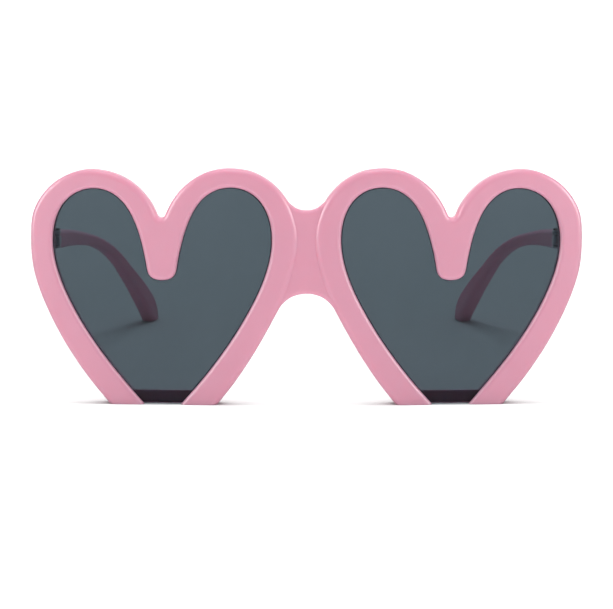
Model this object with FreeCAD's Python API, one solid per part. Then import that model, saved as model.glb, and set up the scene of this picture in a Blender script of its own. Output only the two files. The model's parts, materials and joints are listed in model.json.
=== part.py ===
import FreeCAD, Part
import os
import math

V = FreeCAD.Vector

# ---------------------------------------------------------------------------
# Heart shaped sunglasses, millimetres.
# +X is to the right when the front is looked at, the front looks along -Y,
# +Z is up.  Sides are named as worn: "right" is the -X side.
# Everything on the right is drawn in a flat lens frame (x, y, z), turned back
# by WRAP about the vertical line through the middle of the bridge, and
# mirrored for the left.  The feet and the temple tips are cut off flat at
# z = FLOOR; at the end all is lifted to stand on z = 0.
# ---------------------------------------------------------------------------

# driving dimensions
WRAP = 3.0              # each heart is turned back by this many degrees
FLOOR = -0.50           # where the feet and the temple tips stand
RIM_T = 4.6             # front-to-back thickness of the rims
RIM_FRONT_R = 1.6       # rounding of the outer front edge
RIM_REAR_R = 1.0        # rounding of the outer rear edge
RIM_INNER_R = 1.15      # rounding of the opening's front edge
LENS_T = 1.5            # lens thickness
LENS_Y = 1.3            # depth of the lens's front face behind the rim's front
LENS_LIP = 1.20         # how far the lens reaches into the groove
GAP = 0.05              # assembly clearance
REAR_LIP = 0.19         # the lip behind the lens stands in by this much,
REAR_SHIFT = (-0.22, -0.20)     # and lies this much off the front opening
BAR_TOP = 3.08          # top of the low bar behind the bottom of the lens
BAR_Y1 = 3.9            # rear of that bar
LENS_BOTTOM = FLOOR + 0.46      # lower edge of the lens
MIDDLE_Y = 72.36        # middle of the whole, front to tips: the origin

BRIDGE_Y0 = 0.95        # bridge front, set back from the rims
BRIDGE_Y1 = 4.2         # bridge rear
BRIDGE_R = 1.0          # rounding of the bridge's edges

LUG_OUT = -75.50        # lug: outer face
LUG_IN = -71.60         # lug: inner face
LUG_Y = 8.20            # lug: rear face, where the temple butts
AX_X, AX_Y = -70.13, 8.33   # hinge axis
KN_R = 1.28             # knuckle radius
KN_C = (0.15, 0.34)     # chamfers: outer ends, and where two knuckles meet
KN_Z = (42.05, 42.72, 42.86, 45.59, 45.73, 47.05)   # bottom, middle, top
PIN_R = 0.60            # pivot screw shank
PIN_RUN = 0.03          # running clearance in the middle knuckle
PIN_FIT = 0.01          # clearance in the two fixed knuckles
HEAD_R = 0.95           # pivot screw head
HEAD_H = 0.55
PLATE_T = 0.80          # hinge leaf thickness
FRONT_PLATE_X = -70.95  # inner face of the front leaf
FRONT_PLATE_Y0 = 3.75   # how deep the front leaf is let into the rim
TEMPLE_PLATE_X = -71.15 # inner face of the temple leaf
TEMPLE_PLATE_Y1 = 17.0  # its rear end
SCREW_R = 0.40          # leaf screws
SCREW_HEAD_R = 0.72
SCREW_HEAD_H = 0.32
SCREW_LEN = 2.9
FRONT_SCREWS = ((6.05, 45.60), (6.05, 43.15))       # (y, z)
TEMPLE_SCREWS = ((11.9, 44.2), (15.0, 44.2))

PAD_AT = (-12.75, 25.2)     # nose pad: middle on the back of the rim
PAD_LEAN = 28.0             # leans with the nasal leg, degrees from vertical
PAD_SEMI = (2.45, 4.6, 7.6) # semi-axes: width, depth, length

# the temple's centre line, in the world: (Y, X, Z, height, thickness)
BUTT = 8.35
BUTT_H, BUTT_W, BUTT_Z, BUTT_X = 5.6, 3.9, 44.55, -73.62
TEMPLE = (
    (19.0, -73.00, 43.60, 5.55, 3.90),
    (30.0, -72.98, 42.20, 5.50, 3.80),
    (45.0, -72.85, 40.53, 5.37, 3.70),
    (60.0, -72.33, 38.83, 5.02, 3.60),
    (74.5, -70.98, 36.76, 4.27, 3.50),
    (87.4, -68.85, 34.44, 3.70, 3.40),
    (97.3, -66.66, 31.63, 3.82, 3.41),
    (105.9, -64.58, 28.06, 4.14, 3.51),
    (113.3, -62.68, 23.92, 4.54, 3.74),
    (120.2, -60.81, 19.12, 5.25, 4.10),
    (126.6, -58.88, 14.36, 6.11, 4.60),
    (132.5, -57.03, 9.37, 6.92, 5.11),
    (136.9, -55.63, 5.12, 7.10, 5.30),
    (140.1, -54.88, 1.39, 6.48, 4.96),
    (142.8, -54.27, -2.59, 5.45, 4.55),
)
TEMPLE_CORNER = 0.36    # corner radius as a share of the smaller side
TIP_R = 0.6             # rounding round the foot of the tip

# outline of one heart, (x, z), from the temporal foot over both lobes
OUTER_TEMPORAL = [
    (-52.88, -3.03), (-56.37, 1.27), (-58.92, 4.38), (-61.33, 7.59),
    (-63.60, 10.90), (-65.76, 14.30), (-67.79, 17.77), (-69.64, 21.33),
    (-71.36, 24.97), (-72.91, 28.68), (-74.25, 32.47), (-75.29, 36.37),
    (-75.85, 40.24), (-76.01, 44.20), (-75.89, 48.31), (-75.33, 52.35),
    (-73.66, 56.08), (-71.19, 59.27), (-68.11, 61.83), (-64.49, 63.61),
    (-60.58, 64.55), (-56.57, 64.46), (-52.70, 63.57), (-49.08, 61.92),
    (-45.93, 59.48), (-43.36, 56.50), (-41.68, 53.58)]
NOTCH_C, NOTCH_R, NOTCH_A = (-39.97, 52.63), 1.22, 25.0
OUTER_NASAL = [
    (-38.18, 53.62), (-36.88, 55.99), (-34.79, 58.83), (-32.19, 61.22),
    (-29.21, 63.11), (-25.91, 64.40), (-22.42, 64.95), (-18.88, 64.88),
    (-15.43, 64.24), (-12.21, 62.84), (-9.33, 60.87), (-6.88, 58.37),
    (-4.89, 55.39), (-3.50, 52.11), (-2.62, 48.75), (-2.29, 45.40),
    (-2.50, 42.00), (-3.13, 38.69), (-4.00, 35.38), (-5.11, 32.06),
    (-6.50, 28.73), (-8.18, 25.44), (-10.57, 20.97), (-13.06, 16.51),
    (-15.62, 12.23), (-18.31, 8.12), (-21.25, 4.00), (-22.80, 2.03),
    (-26.80, -3.03)]

# outline of the lens opening, (x, z), open at the bottom
OPENING = [
    (-42.97, -3.09), (-46.57, 1.11), (-49.44, 4.48), (-52.25, 7.91),
    (-54.98, 11.39), (-57.59, 14.97), (-60.05, 18.66), (-62.37, 22.44),
    (-64.48, 26.33), (-66.37, 30.34), (-67.99, 34.47), (-69.21, 38.74),
    (-69.84, 43.13), (-69.73, 47.55), (-68.70, 51.86), (-66.47, 55.71),
    (-63.00, 58.42), (-58.73, 59.53), (-54.39, 58.77), (-50.76, 56.23),
    (-48.19, 52.62), (-46.48, 48.54), (-45.94, 46.87), (-45.42, 44.93),
    (-44.99, 42.99), (-44.63, 41.20), (-44.32, 39.55), (-44.09, 38.10),
    (-43.79, 36.66), (-43.24, 35.51), (-42.28, 34.74), (-41.08, 34.36),
    (-39.85, 34.26), (-38.63, 34.36), (-37.44, 34.74), (-36.52, 35.53),
    (-35.98, 36.60), (-35.68, 38.06), (-35.36, 40.05), (-34.95, 42.06),
    (-34.46, 44.00), (-33.94, 45.93), (-33.38, 47.75), (-32.82, 49.34),
    (-30.88, 53.46), (-28.10, 57.01), (-24.32, 59.28), (-19.93, 59.84),
    (-15.69, 58.60), (-12.39, 55.68), (-10.41, 51.72), (-9.58, 47.35),
    (-9.67, 42.91), (-10.48, 38.56), (-11.83, 34.34), (-13.55, 30.27),
    (-15.56, 26.32), (-17.72, 22.46), (-20.03, 18.69), (-22.51, 15.00),
    (-25.08, 11.41), (-27.77, 7.90), (-30.57, 4.47), (-33.50, 1.15),
    (-37.26, -3.03)]

SADDLE = [(-9.0, 58.05), (-6.9, 57.35), (-4.95, 55.95), (-3.60, 54.74),
          (-1.95, 53.88), (0.0, 53.62)]
ARCH = [(-11.6, 21.30), (-10.3, 22.45), (-9.2, 23.75), (-8.45, 24.95),
        (-7.87, 25.92), (-7.2, 27.02), (-6.74, 27.60), (-6.22, 28.15),
        (-5.62, 28.71), (-4.86, 29.27), (-3.92, 29.81), (-3.1, 30.13),
        (-2.2, 30.40), (-1.1, 30.57), (0.0, 30.63)]


# ---------------------------------------------------------------------------
# helpers
# ---------------------------------------------------------------------------
def xz(p, y=0.0):
    return V(p[0], y, p[1])


def curve(points, t0=None, t1=None):
    c = Part.BSplineCurve()
    pts = [xz(p) for p in points]
    if t0 is not None or t1 is not None:
        c.interpolate(Points=pts, InitialTangent=t0, FinalTangent=t1)
    else:
        c.interpolate(pts)
    return c


def offset_points(c, d, n):
    """Points beside a curve of the x-z plane, d to the left of its run."""
    out = []
    a, b = c.FirstParameter, c.LastParameter
    for i in range(n):
        u = a + (b - a) * i / (n - 1.0)
        p, t = c.value(u), c.tangent(u)[0]
        out.append((p.x - t.z * d, p.z + t.x * d))
    return out


def prism(edges, y0, y1):
    f = Part.Face(Part.Wire(edges))
    f.translate(V(0, y0, 0))
    return f.extrude(V(0, y1 - y0, 0))


def closed_prism(points, y0, y1):
    c = curve(points)
    a, b = c.value(c.FirstParameter), c.value(c.LastParameter)
    return prism([c.toShape(), Part.LineSegment(b, a).toShape()], y0, y1)


def box(x0, x1, y0, y1, z0, z1):
    return Part.makeBox(x1 - x0, y1 - y0, z1 - z0, V(x0, y0, z0))


def cyl(r, p, axis, length):
    return Part.makeCylinder(r, length, p, axis)


def one(shape):
    s = shape.removeSplitter()
    return s.Solids[0] if len(s.Solids) == 1 else s


def right(shape):
    s = shape.copy()
    s.rotate(V(0, 0, 0), V(0, 0, 1), -WRAP)
    return s


def left(shape):
    return right(shape).mirror(V(0, 0, 0), V(1, 0, 0))


# ---------------------------------------------------------------------------
# one heart rim with its lug
# ---------------------------------------------------------------------------
ca, sa = math.cos(math.radians(NOTCH_A)), math.sin(math.radians(NOTCH_A))
n0 = (NOTCH_C[0] - NOTCH_R * ca, NOTCH_C[1] - NOTCH_R * sa)
n1 = (NOTCH_C[0] + NOTCH_R * ca, NOTCH_C[1] - NOTCH_R * sa)
down, up = V(sa, 0, -ca), V(sa, 0, ca)
tem = OUTER_TEMPORAL + [n0]
nas = [n1] + OUTER_NASAL
tdir = xz(tem[1]) - xz(tem[0])
ndir = xz(nas[-1]) - xz(nas[-2])
c_tem = curve(tem, tdir.normalize(), down)
c_nas = curve(nas, up, ndir.normalize())
notch = Part.Arc(xz(n0), xz((NOTCH_C[0], NOTCH_C[1] - NOTCH_R)), xz(n1))
bottom = Part.LineSegment(xz(nas[-1]), xz(tem[0]))
heart = prism([c_tem.toShape(), notch.toShape(), c_nas.toShape(),
               bottom.toShape()], 0.0, RIM_T)


def at_depth(e, y):
    return all(abs(v.Point.y - y) < 1e-4 for v in e.Vertexes) and \
        abs(e.BoundBox.YMax - y) < 1e-3 and abs(e.BoundBox.YMin - y) < 1e-3


def on_outline(e):
    return e.BoundBox.ZMax > 0.0


heart = heart.makeFillet(RIM_FRONT_R, [e for e in heart.Edges
                                       if at_depth(e, 0.0) and on_outline(e)])
heart = heart.makeFillet(RIM_REAR_R, [e for e in heart.Edges
                                      if at_depth(e, RIM_T) and on_outline(e)])

c_open = curve(OPENING)
lens_in = LENS_Y - GAP
lens_out = LENS_Y + LENS_T + GAP
front_cut = closed_prism(OPENING, -2.0, lens_in + 0.2)
groove = closed_prism(offset_points(c_open, LENS_LIP + GAP, 121),
                      lens_in, lens_out)
rear_cut = closed_prism(offset_points(c_open, -REAR_LIP, 121),
                        lens_out - 0.1, RIM_T + 2.0)
rear_cut.translate(V(REAR_SHIFT[0], 0, REAR_SHIFT[1]))
rear_cut = rear_cut.cut(box(-80, 0, -5, BAR_Y1, -10, BAR_TOP))

rim = heart.cut(front_cut)
inner = [e for e in rim.Edges if at_depth(e, 0.0) and e.BoundBox.ZMax > 50
         and e.BoundBox.ZMax < 60.5]
rim = rim.makeFillet(RIM_INNER_R, inner)
rim = rim.cut(groove).cut(rear_cut)
rim = rim.cut(box(-90, 10, -10, 20, -10, FLOOR))

lug_side = [(2.4, 38.9), (RIM_T, 39.7), (LUG_Y, 41.70), (LUG_Y, 47.30),
            (RIM_T, 49.3), (2.4, 50.1)]
lug_wire = Part.makePolygon([V(LUG_OUT, y, z) for y, z in lug_side]
                            + [V(LUG_OUT, *lug_side[0])])
lug = Part.Face(lug_wire).extrude(V(LUG_IN - LUG_OUT, 0, 0))
lug = lug.makeFillet(0.7, [e for e in lug.Edges
                           if abs(e.BoundBox.XMin - LUG_OUT) < 1e-4
                           and abs(e.BoundBox.XMax - LUG_OUT) < 1e-4
                           and e.BoundBox.YMax > RIM_T + 0.1
                           and e.BoundBox.ZLength > 0.1
                           and e.BoundBox.YLength > 0.1])
rim = rim.fuse(lug)

# the slot for the front leaf and the pilot holes of its screws
fp0 = FRONT_PLATE_X - PLATE_T
rim = rim.cut(box(fp0 - 0.02, FRONT_PLATE_X + 0.02, FRONT_PLATE_Y0 - 0.03,
                  LUG_Y + 1.0, KN_Z[0] - 0.03, KN_Z[5] + 0.03))
for y, z in FRONT_SCREWS:
    rim = rim.cut(cyl(SCREW_R + 0.01, V(FRONT_PLATE_X, y, z), V(-1, 0, 0),
                      SCREW_LEN + 0.05))
rim = one(rim)

# ---------------------------------------------------------------------------
# the front: two rims and the bridge between them
# ---------------------------------------------------------------------------
def mirrored(points):
    return points + [(-x, z) for x, z in reversed(points[:-1])]


sad = curve(mirrored(SADDLE))
arc = curve(mirrored(ARCH))
s0, s1 = xz(SADDLE[0]), xz((-SADDLE[0][0], SADDLE[0][1]))
a0, a1 = xz(ARCH[0]), xz((-ARCH[0][0], ARCH[0][1]))
m0, m1 = V(-6.4, 0, 45.0), V(6.4, 0, 45.0)
bridge = prism([sad.toShape(), Part.LineSegment(s1, m1).toShape(),
                Part.LineSegment(m1, a1).toShape(), arc.toShape(),
                Part.LineSegment(a0, m0).toShape(),
                Part.LineSegment(m0, s0).toShape()], BRIDGE_Y0, BRIDGE_Y1)


def long_edge(e, y):
    return at_depth(e, y) and e.BoundBox.XLength > 15.0


bridge = bridge.makeFillet(BRIDGE_R, [e for e in bridge.Edges
                                      if long_edge(e, BRIDGE_Y0)])
bridge = bridge.makeFillet(BRIDGE_R, [e for e in bridge.Edges
                                      if long_edge(e, BRIDGE_Y1)])

front = right(rim).fuse([left(rim), bridge])
front = one(front)

# ---------------------------------------------------------------------------
# lens
# ---------------------------------------------------------------------------
lens = closed_prism(offset_points(c_open, LENS_LIP, 121), LENS_Y,
                    LENS_Y + LENS_T)
lens = one(lens.cut(box(-80, 0, -5, 20, -10, LENS_BOTTOM)))

# ---------------------------------------------------------------------------
# hinge
# ---------------------------------------------------------------------------
def knuckle(z0, z1, bore):
    k = cyl(KN_R, V(AX_X, AX_Y, z0), V(0, 0, 1), z1 - z0)
    for z in (z0, z1):
        k = k.makeChamfer(KN_C[0 if z in (KN_Z[0], KN_Z[5]) else 1],
                          [e for e in k.Edges if e.Closed
                           and abs(e.BoundBox.ZMin - z) < 1e-4
                           and abs(e.BoundBox.ZMax - z) < 1e-4])
    return k.cut(cyl(bore, V(AX_X, AX_Y, z0 - 1), V(0, 0, 1), z1 - z0 + 2))


front_leaf = box(fp0, FRONT_PLATE_X, FRONT_PLATE_Y0, AX_Y, KN_Z[0], KN_Z[5])
front_leaf = front_leaf.cut(cyl(KN_R + 0.12, V(AX_X, AX_Y, KN_Z[1]),
                                V(0, 0, 1), KN_Z[4] - KN_Z[1]))
for z0, z1 in ((KN_Z[0], KN_Z[1]), (KN_Z[4], KN_Z[5])):
    front_leaf = front_leaf.cut(cyl(KN_R - 0.3, V(AX_X, AX_Y, z0),
                                    V(0, 0, 1), z1 - z0))
    front_leaf = front_leaf.fuse(knuckle(z0, z1, PIN_R + PIN_FIT))
for y, z in FRONT_SCREWS:
    front_leaf = front_leaf.cut(cyl(SCREW_R + 0.01,
                                    V(FRONT_PLATE_X + 1, y, z),
                                    V(-1, 0, 0), 4.0))
front_leaf = one(front_leaf)

tp0 = TEMPLE_PLATE_X - PLATE_T
temple_leaf = box(tp0, TEMPLE_PLATE_X, AX_Y + 0.25, TEMPLE_PLATE_Y1,
                  KN_Z[2], KN_Z[3])
temple_leaf = temple_leaf.makeFillet(
    1.0, [e for e in temple_leaf.Edges
          if abs(e.BoundBox.YMin - TEMPLE_PLATE_Y1) < 1e-4
          and e.BoundBox.XLength > 0.5])
temple_leaf = temple_leaf.fuse(
    box(tp0, AX_X, AX_Y + 0.25, AX_Y + 0.95, KN_Z[2], KN_Z[3]).common(
        cyl(1.9, V(AX_X, AX_Y, KN_Z[2]), V(0, 0, 1), KN_Z[3] - KN_Z[2])))
temple_leaf = temple_leaf.cut(cyl(KN_R - 0.3, V(AX_X, AX_Y, KN_Z[2]),
                                  V(0, 0, 1), KN_Z[3] - KN_Z[2]))
temple_leaf = temple_leaf.fuse(knuckle(KN_Z[2], KN_Z[3], PIN_R + PIN_RUN))
for y, z in TEMPLE_SCREWS:
    temple_leaf = temple_leaf.cut(cyl(SCREW_R + 0.01,
                                      V(TEMPLE_PLATE_X + 1, y, z),
                                      V(-1, 0, 0), 4.0))
temple_leaf = one(temple_leaf)

pin = cyl(PIN_R, V(AX_X, AX_Y, KN_Z[0] + 0.1), V(0, 0, 1),
          KN_Z[5] - KN_Z[0] - 0.1)
head = cyl(HEAD_R, V(AX_X, AX_Y, KN_Z[5]), V(0, 0, 1), HEAD_H)
head = head.makeChamfer(0.18, [e for e in head.Edges if e.Closed
                               and e.BoundBox.ZMin > KN_Z[5] + 0.3])
slot = box(AX_X - 2, AX_X + 2, AX_Y - 0.14, AX_Y + 0.14,
           KN_Z[5] + HEAD_H - 0.28, KN_Z[5] + HEAD_H + 1)
pivot_screw = one(pin.fuse(head).cut(slot))


def leaf_screw(x, y, z):
    s = cyl(SCREW_R, V(x, y, z), V(-1, 0, 0), SCREW_LEN)
    h = cyl(SCREW_HEAD_R, V(x, y, z), V(1, 0, 0), SCREW_HEAD_H)
    h = h.makeFillet(0.15, [e for e in h.Edges if e.Closed
                            and e.BoundBox.XMin > x + 0.1])
    h = h.cut(box(x + SCREW_HEAD_H - 0.16, x + 2, y - 0.11, y + 0.11,
                  z - 2, z + 2))
    return one(s.fuse(h))


front_screws = [leaf_screw(FRONT_PLATE_X, y, z) for y, z in FRONT_SCREWS]
temple_screws = [leaf_screw(TEMPLE_PLATE_X, y, z) for y, z in TEMPLE_SCREWS]

# ---------------------------------------------------------------------------
# nose pad: half an ellipsoid on the back of the nasal leg
# ---------------------------------------------------------------------------
ball = Part.makeSphere(1.0)
m = FreeCAD.Matrix()
m.scale(V(*PAD_SEMI))
pad = ball.transformGeometry(m)
pad.rotate(V(0, 0, 0), V(0, 1, 0), PAD_LEAN)
pad.translate(V(PAD_AT[0], RIM_T - 0.6, PAD_AT[1]))
pad = one(pad.cut(box(-60, 40, -30, RIM_T, -30, 80)))

# ---------------------------------------------------------------------------
# temple: rounded-bar sections along its centre line
# ---------------------------------------------------------------------------
def to_lens_frame(p):
    a = math.radians(WRAP)
    return V(p.x * math.cos(a) - p.y * math.sin(a),
             p.x * math.sin(a) + p.y * math.cos(a), p.z)


def section(c, w, h, ew, eh):
    """Rounded rectangle about c: w along ew, h along eh."""
    r = TEMPLE_CORNER * min(w, h)
    q = r * (1 - math.sqrt(0.5))

    def at(i, j):
        return c + ew * i + eh * j
    a, b = w / 2.0, h / 2.0
    e = []
    corners = ((1, 1), (-1, 1), (-1, -1), (1, -1))
    starts = []
    for k, (i, j) in enumerate(corners):
        p_v = at(i * a, j * (b - r))
        p_h = at(i * (a - r), j * b)
        mid = at(i * (a - q), j * (b - q))
        first, last = (p_v, p_h) if i * j > 0 else (p_h, p_v)
        starts.append((first, mid, last))
    for k in range(4):
        first, mid, last = starts[k]
        e.append(Part.Arc(first, mid, last).toShape())
        e.append(Part.LineSegment(last, starts[(k + 1) % 4][0]).toShape())
    return Part.Wire(e)


path = [V(BUTT_X, BUTT, BUTT_Z)] + [to_lens_frame(V(x, y, z))
                                    for y, x, z, h, w in TEMPLE]
sizes = [(BUTT_W, BUTT_H)] + [(w, h) for y, x, z, h, w in TEMPLE]
wires = []
for i, p in enumerate(path):
    if i == 0:
        ew, eh = V(1, 0, 0), V(0, 0, 1)
    else:
        q = path[min(i + 1, len(path) - 1)]
        t = (q - path[i - 1]).normalize()
        ew = V(t.y, -t.x, 0).normalize()
        eh = ew.cross(t).normalize()
    wires.append(section(p, sizes[i][0], sizes[i][1], ew, eh))
temple = Part.makeLoft(wires, True, False)
temple = temple.cut(box(-100, 0, 90, 200, -40, FLOOR))
temple = temple.cut(box(tp0 - 0.02, TEMPLE_PLATE_X + 2, 0, TEMPLE_PLATE_Y1
                        + 0.03, KN_Z[2] - 0.03, KN_Z[3] + 0.03))
for y, z in TEMPLE_SCREWS:
    temple = temple.cut(cyl(SCREW_R + 0.01, V(TEMPLE_PLATE_X, y, z),
                            V(-1, 0, 0), SCREW_LEN + 0.05))
temple = one(temple)
tip = [e for e in temple.Edges if abs(e.BoundBox.ZMax - FLOOR) < 1e-3
       and abs(e.BoundBox.ZMin - FLOOR) < 1e-3]
try:
    trial = temple.makeFillet(TIP_R, tip)
    if trial.isValid() and len(trial.Solids) == 1:
        temple = trial.Solids[0]
        print("tip rounded")
except Exception:
    print("tip left sharp")

# ---------------------------------------------------------------------------
# put the origin under the middle of the whole, on the floor, and write
# ---------------------------------------------------------------------------
nodes = {
    "front_frame": front,
    "right_lens": right(lens), "left_lens": left(lens),
    "right_temple": right(temple), "left_temple": left(temple),
    "right_front_hinge_leaf": right(front_leaf),
    "left_front_hinge_leaf": left(front_leaf),
    "right_temple_hinge_leaf": right(temple_leaf),
    "left_temple_hinge_leaf": left(temple_leaf),
    "right_hinge_screw": right(pivot_screw),
    "left_hinge_screw": left(pivot_screw),
    "right_front_leaf_screws": Part.makeCompound(
        [right(s) for s in front_screws]),
    "left_front_leaf_screws": Part.makeCompound(
        [left(s) for s in front_screws]),
    "right_temple_leaf_screws": Part.makeCompound(
        [right(s) for s in temple_screws]),
    "left_temple_leaf_screws": Part.makeCompound(
        [left(s) for s in temple_screws]),
    "right_nose_pad": right(pad), "left_nose_pad": left(pad),
}

def tight(s):
    return s.optimalBoundingBox(False, False)


os.makedirs("parts", exist_ok=True)
for name, s in nodes.items():
    s = s.copy()
    s.translate(V(0, -MIDDLE_Y, -FLOOR))
    s.exportStep("parts/%s.step" % name)
    b = tight(s)
    print("%-26s solids %d valid %s vol %9.3f  x %.2f..%.2f y %.2f..%.2f "
          "z %.2f..%.2f" % (name, len(s.Solids), s.isValid(), s.Volume,
                            b.XMin, b.XMax, b.YMin, b.YMax, b.ZMin, b.ZMax))
axis = right(Part.Vertex(V(AX_X, AX_Y, 44.1)))
print("hinge axis", axis.Point.x, axis.Point.y - MIDDLE_Y)
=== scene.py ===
import json
import math

import bpy
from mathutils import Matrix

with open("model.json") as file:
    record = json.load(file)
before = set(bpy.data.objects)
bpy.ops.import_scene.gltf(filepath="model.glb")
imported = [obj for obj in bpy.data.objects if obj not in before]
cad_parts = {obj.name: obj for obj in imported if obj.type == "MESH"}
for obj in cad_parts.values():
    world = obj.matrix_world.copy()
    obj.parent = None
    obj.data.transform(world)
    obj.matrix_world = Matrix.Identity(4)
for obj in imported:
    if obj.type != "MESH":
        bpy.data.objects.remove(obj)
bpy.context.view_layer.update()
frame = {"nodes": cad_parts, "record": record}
nodes = frame["nodes"]
scene = bpy.context.scene

scene.view_settings.view_transform = "Standard"
scene.view_settings.look = "None"
scene.view_settings.exposure = 0.0
scene.view_settings.gamma = 1.0


# ---------------------------------------------------------------- materials

def material(name):
    m = bpy.data.materials.new(name)
    m.use_nodes = True
    m.node_tree.nodes.clear()
    out = m.node_tree.nodes.new("ShaderNodeOutputMaterial")
    shader = m.node_tree.nodes.new("ShaderNodeBsdfPrincipled")
    m.node_tree.links.new(shader.outputs["BSDF"], out.inputs["Surface"])
    return m, m.node_tree, shader, out


def place(tree, stretch=(1.0, 1.0, 1.0)):
    """Coordinates that ride with the piece, in metres."""
    coord = tree.nodes.new("ShaderNodeTexCoord")
    if stretch == (1.0, 1.0, 1.0):
        return coord.outputs["Object"]
    mapping = tree.nodes.new("ShaderNodeMapping")
    mapping.inputs["Scale"].default_value = stretch
    tree.links.new(coord.outputs["Object"], mapping.inputs["Vector"])
    return mapping.outputs["Vector"]


def noise(tree, vector, scale, detail=2.0, rough=0.5):
    n = tree.nodes.new("ShaderNodeTexNoise")
    n.inputs["Scale"].default_value = scale
    n.inputs["Detail"].default_value = detail
    n.inputs["Roughness"].default_value = rough
    tree.links.new(vector, n.inputs["Vector"])
    return n.outputs["Fac"]


def ramp(tree, fac, low, high, start=0.3, end=0.7):
    r = tree.nodes.new("ShaderNodeValToRGB")
    r.color_ramp.elements[0].position = start
    r.color_ramp.elements[0].color = (*low, 1.0)
    r.color_ramp.elements[1].position = end
    r.color_ramp.elements[1].color = (*high, 1.0)
    tree.links.new(fac, r.inputs["Fac"])
    return r.outputs["Color"]


def spread(tree, fac, low, high, start=0.3, end=0.7):
    r = tree.nodes.new("ShaderNodeMapRange")
    r.inputs["From Min"].default_value = start
    r.inputs["From Max"].default_value = end
    r.inputs["To Min"].default_value = low
    r.inputs["To Max"].default_value = high
    tree.links.new(fac, r.inputs["Value"])
    return r.outputs["Result"]


def bump(tree, height, strength, distance, normal=None):
    b = tree.nodes.new("ShaderNodeBump")
    b.inputs["Strength"].default_value = strength
    b.inputs["Distance"].default_value = distance
    tree.links.new(height, b.inputs["Height"])
    if normal is not None:
        tree.links.new(normal, b.inputs["Normal"])
    return b.outputs["Normal"]


def pink_plastic(name, low, high, rough, glow, gloss=0.8, sheen=0.2):
    """Satin moulded plastic: a faint cloudiness from the melt, and the fine
    skin of a blasted mould in its gloss and relief."""
    m, t, s, _ = material(name)
    at = place(t)
    cloud = noise(t, at, 55.0, 3.0, 0.55)
    skin = noise(t, at, 1900.0, 3.0, 0.6)
    sweep = noise(t, at, 160.0, 2.0, 0.5)
    t.links.new(ramp(t, cloud, low, high), s.inputs["Base Color"])
    t.links.new(spread(t, skin, rough - 0.004, rough + 0.006), s.inputs["Roughness"])
    relief = bump(t, sweep, 0.015, 0.0002)
    t.links.new(bump(t, skin, 0.01, 0.00001, relief), s.inputs["Normal"])
    s.inputs["Subsurface Weight"].default_value = glow
    s.inputs["Subsurface Radius"].default_value = (1.0, 0.42, 0.5)
    s.inputs["Subsurface Scale"].default_value = 0.003
    s.inputs["IOR"].default_value = 1.46
    s.inputs["Specular IOR Level"].default_value = gloss
    s.inputs["Sheen Weight"].default_value = sheen
    s.inputs["Sheen Roughness"].default_value = 0.4
    return m


def smoke_lens(name, low, high):
    """Tinted acrylic: even smoke-grey dye, polished faces with the faintest
    waviness, and light that falls through it keeps the tint."""
    m, t, s, out = material(name)
    at = place(t)
    dye = noise(t, at, 40.0, 2.0, 0.5)
    haze = noise(t, at, 420.0, 3.0, 0.6)
    wave = noise(t, at, 90.0, 1.0, 0.4)
    tint = ramp(t, dye, low, high)
    t.links.new(tint, s.inputs["Base Color"])
    t.links.new(spread(t, haze, 0.010, 0.035), s.inputs["Roughness"])
    t.links.new(bump(t, wave, 0.05, 0.0001), s.inputs["Normal"])
    s.inputs["Transmission Weight"].default_value = 1.0
    s.inputs["IOR"].default_value = 1.2
    path = t.nodes.new("ShaderNodeLightPath")
    clear = t.nodes.new("ShaderNodeBsdfTransparent")
    clear.inputs["Color"].default_value = tuple(math.sqrt((a + b) / 2) for a, b in zip(low, high)) + (1.0,)
    mix = t.nodes.new("ShaderNodeMixShader")
    t.links.new(path.outputs["Is Shadow Ray"], mix.inputs["Fac"])
    t.links.new(s.outputs["BSDF"], mix.inputs[1])
    t.links.new(clear.outputs["BSDF"], mix.inputs[2])
    t.links.new(mix.outputs["Shader"], out.inputs["Surface"])
    return m


def metal(name, low, high, rough, stretch):
    """Drawn and plated metal: fine lines along the part, a little uneven gloss."""
    m, t, s, _ = material(name)
    lines = noise(t, place(t, stretch), 900.0, 3.0, 0.6)
    patch = noise(t, place(t), 500.0, 2.0, 0.5)
    t.links.new(ramp(t, patch, low, high), s.inputs["Base Color"])
    t.links.new(spread(t, lines, rough - 0.08, rough + 0.12), s.inputs["Roughness"])
    t.links.new(bump(t, lines, 0.15, 0.00002), s.inputs["Normal"])
    s.inputs["Metallic"].default_value = 1.0
    return m


pink = pink_plastic("pink_plastic", (0.752, 0.324, 0.442), (0.770, 0.336, 0.456), 0.36, 0.35)
# painted light: the temples' copy of the pink has a lighter, redder base colour than the front's
painted_lighter_temple = pink_plastic("temple_plastic_painted_lighter", (0.835, 0.340, 0.470), (0.850, 0.352, 0.484), 0.36, 0.35, 0.45, 0.0)
pad = pink_plastic("pad_plastic", (0.790, 0.340, 0.460), (0.815, 0.358, 0.478), 0.36, 0.45)
smoke = smoke_lens("smoke_lens", (0.109, 0.148, 0.176), (0.115, 0.154, 0.183))
plated = metal("hinge_metal", (0.78, 0.78, 0.79), (0.90, 0.90, 0.91), 0.42, (1.0, 1.0, 6.0))
steel = metal("screw_steel", (0.16, 0.16, 0.17), (0.25, 0.25, 0.26), 0.30, (3.0, 3.0, 3.0))

looks = {
    "pink_plastic": pink,
    "pad_plastic": pad,
    "smoke_lens": smoke,
    "hinge_metal": plated,
    "screw_steel": steel,
}
for sub in frame["record"]["subparts"]:
    o = nodes[sub["node"]]
    o.data.materials.clear()
    # the temples get a duller copy of the pink, with less gloss and no sheen, and a lighter, redder base
    # colour: painted light that brightens them
    o.data.materials.append(painted_lighter_temple if sub["node"].endswith("_temple") else looks[sub["material_slot"]])
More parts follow.
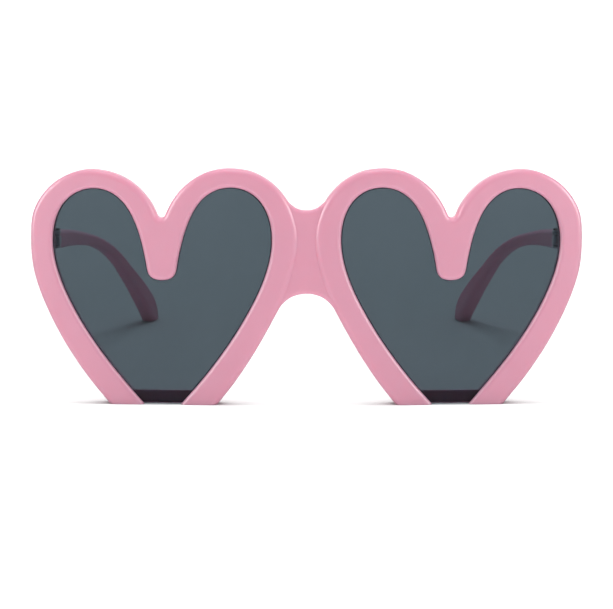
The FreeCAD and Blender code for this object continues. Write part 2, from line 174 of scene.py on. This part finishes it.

# ------------------------------------------------------- floor, light, camera

# Pale studio floor with painted light and shade. It glows a little away from the middle, where the
# overhead light no longer reaches;
# seen directly it glows more, most in front of the feet, so it shows white; in front of the glasses it
# also glows for other rays, lighting the front from below; and a painted contact shade darkens its glow
# near the glasses.
bpy.ops.mesh.primitive_circle_add(vertices=128, radius=12.0, fill_type="NGON", location=(0, 0, -0.00004))
floor = bpy.context.object
floor.name = "floor"
m, t, s, _ = material("floor_white")
grain = noise(t, place(t), 30.0, 2.0, 0.5)
t.links.new(ramp(t, grain, (0.515, 0.515, 0.515), (0.525, 0.525, 0.525)), s.inputs["Base Color"])
s.inputs["Roughness"].default_value = 0.85
s.inputs["Specular IOR Level"].default_value = 0.05
# painted contact shade: ambient occlusion darkens the floor's glow near the glasses
near = t.nodes.new("ShaderNodeAmbientOcclusion")
near.samples = 8
near.inputs["Distance"].default_value = 0.008
reach = t.nodes.new("ShaderNodeVectorMath")
reach.operation = "DISTANCE"
reach.inputs[1].default_value = (0.0, -0.03, 0.0)
t.links.new(place(t), reach.inputs[0])
far_glow = spread(t, reach.outputs["Value"], 0.07, 0.55, 0.10, 1.10)
axes = t.nodes.new("ShaderNodeSeparateXYZ")
t.links.new(place(t), axes.inputs["Vector"])
# painted light: in front of the glasses the floor glows for rays other than camera rays, lighting the
# front from below
front_glow = spread(t, axes.outputs["Y"], 0.50, 0.0, -0.074, -0.064)
extra = t.nodes.new("ShaderNodeMix")
t.links.new(t.nodes.new("ShaderNodeLightPath").outputs["Is Camera Ray"], extra.inputs["Factor"])
t.links.new(front_glow, extra.inputs["A"])
glow = t.nodes.new("ShaderNodeMath")
t.links.new(far_glow, glow.inputs[0])
t.links.new(extra.outputs["Result"], glow.inputs[1])
painted_contact_shade = spread(t, near.outputs["AO"], 0.0, 1.0, 0.30, 0.95)
# the painted contact shade is drawn only behind the front's slightly wrapped face
# and left out in front of the feet
width = t.nodes.new("ShaderNodeMath")
width.operation = "ABSOLUTE"
t.links.new(axes.outputs["X"], width.inputs[0])
depth = t.nodes.new("ShaderNodeMath")
depth.operation = "MULTIPLY_ADD"
depth.inputs[1].default_value = -0.0524
t.links.new(width.outputs["Value"], depth.inputs[0])
t.links.new(axes.outputs["Y"], depth.inputs[2])
behind = spread(t, depth.outputs["Value"], 0.0, 1.0, -0.0731, -0.0723)
# painted light: seen directly the floor glows more, most in front of the front face
t.links.new(spread(t, depth.outputs["Value"], 0.85, 0.52, -0.0731, -0.0723), extra.inputs["B"])
shade = t.nodes.new("ShaderNodeMix")
t.links.new(behind, shade.inputs["Factor"])
shade.inputs["A"].default_value = 1.0
t.links.new(painted_contact_shade, shade.inputs["B"])
both = t.nodes.new("ShaderNodeMath")
both.operation = "MULTIPLY"
t.links.new(glow.outputs["Value"], both.inputs[0])
t.links.new(shade.outputs["Result"], both.inputs[1])
t.links.new(both.outputs["Value"], s.inputs["Emission Strength"])
s.inputs["Emission Color"].default_value = (1.0, 1.0, 1.0, 1.0)
floor.data.materials.append(m)

# White surround, brighter overhead and behind than in front, and a white
# backdrop at the far horizon
world = bpy.data.worlds.new("studio")
scene.world = world
world.use_nodes = True
t = world.node_tree
way = t.nodes.new("ShaderNodeTexCoord").outputs["Generated"]
lean = t.nodes.new("ShaderNodeVectorMath")
lean.operation = "DOT_PRODUCT"
lean.inputs[1].default_value = (0.0, 0.6, 0.8)
t.links.new(way, lean.inputs[0])
axes = t.nodes.new("ShaderNodeSeparateXYZ")
t.links.new(way, axes.inputs["Vector"])
sky = t.nodes.new("ShaderNodeMath")
t.links.new(spread(t, lean.outputs["Value"], 0.15, 0.62, -0.6, 0.7), sky.inputs[0])
t.links.new(spread(t, axes.outputs["Y"], 0.0, 0.6, 0.75, 0.97), sky.inputs[1])
seen = t.nodes.new("ShaderNodeMath")
seen.operation = "MAXIMUM"
t.links.new(sky.outputs["Value"], seen.inputs[0])
t.links.new(t.nodes.new("ShaderNodeLightPath").outputs["Is Camera Ray"], seen.inputs[1])
t.links.new(seen.outputs["Value"], t.nodes["Background"].inputs["Strength"])
t.nodes["Background"].inputs["Color"].default_value = (1.0, 1.0, 1.0, 1.0)


def softbox(name, at, towards, size, power):
    lamp = bpy.data.lights.new(name, "AREA")
    lamp.shape = "RECTANGLE"
    lamp.size, lamp.size_y = size
    lamp.energy = power
    o = bpy.data.objects.new(name, lamp)
    scene.collection.objects.link(o)
    o.location = at
    d = [b - a for a, b in zip(at, towards)]
    flat = math.hypot(d[0], d[1])
    o.rotation_euler = (math.atan2(flat, -d[2]), 0.0, math.atan2(d[1], d[0]) - math.pi / 2)
    o.visible_camera = False
    return o


top = softbox("top_softbox", (0.0, -0.03, 0.9), (0.0, -0.03, 0.0), (0.40, 0.40), 5.1)
top.visible_glossy = False
crown = softbox("top_sheen", (0.0, -0.03, 0.9), (0.0, -0.03, 0.0), (0.40, 0.40), 1.6)
crown.visible_diffuse = False
softbox("right_softbox", (-0.16, -0.24, 0.05), (-0.04, -0.07, 0.03), (0.08, 0.18), 0.078)
edge_right = softbox("right_strip", (-0.28, -0.14, 0.135), (-0.03, -0.07, 0.02), (0.05, 0.20), 0.78)
edge_right.visible_diffuse = False
edge_left = softbox("left_strip", (0.28, -0.14, 0.135), (0.03, -0.07, 0.02), (0.05, 0.20), 0.78)
edge_left.visible_diffuse = False
softbox("left_softbox", (0.16, -0.24, 0.05), (0.04, -0.07, 0.03), (0.08, 0.18), 0.078)

camera = bpy.data.cameras.new("camera")
camera.sensor_fit = "HORIZONTAL"
camera.sensor_width = 36.0
camera.lens = 108.68
camera.clip_start = 0.01
view = bpy.data.objects.new("camera", camera)
scene.collection.objects.link(view)
view.location = (0.0, -0.57236, 0.11063)
view.rotation_euler = (math.radians(80.671), 0.0, 0.0)
scene.camera = view
